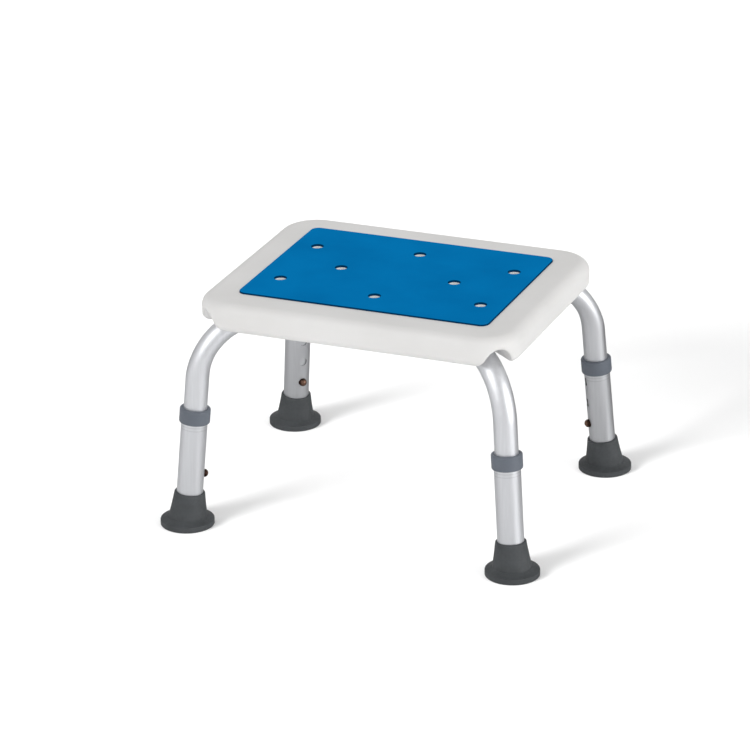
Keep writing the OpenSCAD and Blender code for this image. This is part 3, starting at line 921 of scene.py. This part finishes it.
def sun_light(name, azimuth, elevation, width, strength):
    """A wide distant light, with angles in degrees. Azimuth is where it stands, counted from +X."""
    light = bpy.data.lights.new(name, "SUN")
    light.energy = strength
    light.angle = math.radians(width)
    a, e = math.radians(azimuth), math.radians(elevation)
    holder = bpy.data.objects.new(name, light)
    source = Vector((math.cos(a) * math.cos(e), math.sin(a) * math.cos(e), math.sin(e)))
    holder.rotation_euler = (-source).to_track_quat("-Z", "Y").to_euler()
    bpy.context.scene.collection.objects.link(holder)
    return holder


def light_only(light, item, state):
    """Lets a light fall on just one object, or on all but that one."""
    linked = bpy.data.collections.new(light.name + "_linked")
    linked.objects.link(item)
    linked.collection_objects[0].light_linking.link_state = state
    light.light_linking.receiver_collection = linked


def make_light(floor):
    """Even light, a shadowless side light, a key that skips the floor, and a low sun for the floor alone.

    The camera sees the world as plain white.
    """
    world = bpy.data.worlds.new("studio")
    bpy.context.scene.world = world
    world.use_nodes = True
    background = world.node_tree.nodes["Background"]
    background.inputs["Color"].default_value = (1, 1, 1, 1)
    background.inputs["Strength"].default_value = WORLD_STRENGTH
    seen = world.node_tree.nodes.new("ShaderNodeBackground")
    seen.inputs["Color"].default_value = (1, 1, 1, 1)
    swap = world.node_tree.nodes.new("ShaderNodeMixShader")
    ray = world.node_tree.nodes.new("ShaderNodeLightPath")
    world.node_tree.links.new(ray.outputs["Is Camera Ray"], swap.inputs["Fac"])
    world.node_tree.links.new(background.outputs["Background"], swap.inputs[1])
    world.node_tree.links.new(seen.outputs["Background"], swap.inputs[2])
    world.node_tree.links.new(swap.outputs["Shader"], world.node_tree.nodes["World Output"].inputs["Surface"])
    side = sun_light("side", -5, 14, 40, SIDE_STRENGTH)
    side.data.use_shadow = False
    light_only(sun_light("key", LIGHT_AZIMUTH, 40, 50, KEY_STRENGTH), floor, "EXCLUDE")
    light_only(sun_light("floor_graze", LIGHT_AZIMUTH, 17, 25, GRAZE_STRENGTH), floor, "INCLUDE")
    scene = bpy.context.scene
    scene.view_settings.view_transform = "Standard"
    scene.view_settings.look = "None"
    scene.view_settings.exposure = 0
    scene.view_settings.gamma = 1


def make_camera():
    azimuth, elevation = math.radians(CAMERA_AZIMUTH), math.radians(CAMERA_ELEVATION)
    roll = math.radians(CAMERA_ROLL)
    aim = (cad_low + cad_high) / 2 + CAMERA_AIM
    forward = Vector((-math.sin(azimuth) * math.cos(elevation),
                      math.cos(azimuth) * math.cos(elevation), -math.sin(elevation)))
    right = Vector((math.cos(azimuth), math.sin(azimuth), 0))
    up = right.cross(forward)
    camera = bpy.data.objects.new("camera", bpy.data.cameras.new("camera"))
    turned = Matrix((math.cos(roll) * right + math.sin(roll) * up,
                     math.cos(roll) * up - math.sin(roll) * right, -forward)).transposed()
    camera.matrix_world = Matrix.Translation(aim - forward * CAMERA_DISTANCE) @ turned.to_4x4()
    camera.data.lens = CAMERA_LENS_MM
    camera.data.sensor_width = 36
    camera.data.clip_end = 50
    bpy.context.scene.collection.objects.link(camera)
    bpy.context.scene.camera = camera


# ---- the whole ----

make_camera()
make_light(make_stage())
finishes = make_finishes()
slots = {s["node"]: s["material_slot"] for s in frame["record"]["subparts"]}
leg_finishes = {"lower_leg_" + leg: leg_finish(leg) for leg in LEGS}
for name, node in frame["nodes"].items():
    dress(node, leg_finishes[name] if name in leg_finishes else finishes[slots[name]])
dress(make_seat(), finishes["seat_plastic"])
dress(make_pad(), finishes["pad_foam"])
dress(make_tube("upper_frame_tube", "back_right", 1), finishes["frame_aluminium"])
dress(make_tube("lower_frame_tube", "front_right", -1), finishes["frame_aluminium"])
for leg in LEGS:
    dress(make_foot(leg), finishes["foot_rubber"])
    dress(make_button(leg), finishes["button_metal"])
    dress(make_leaf(leg), finishes["spring_steel"])
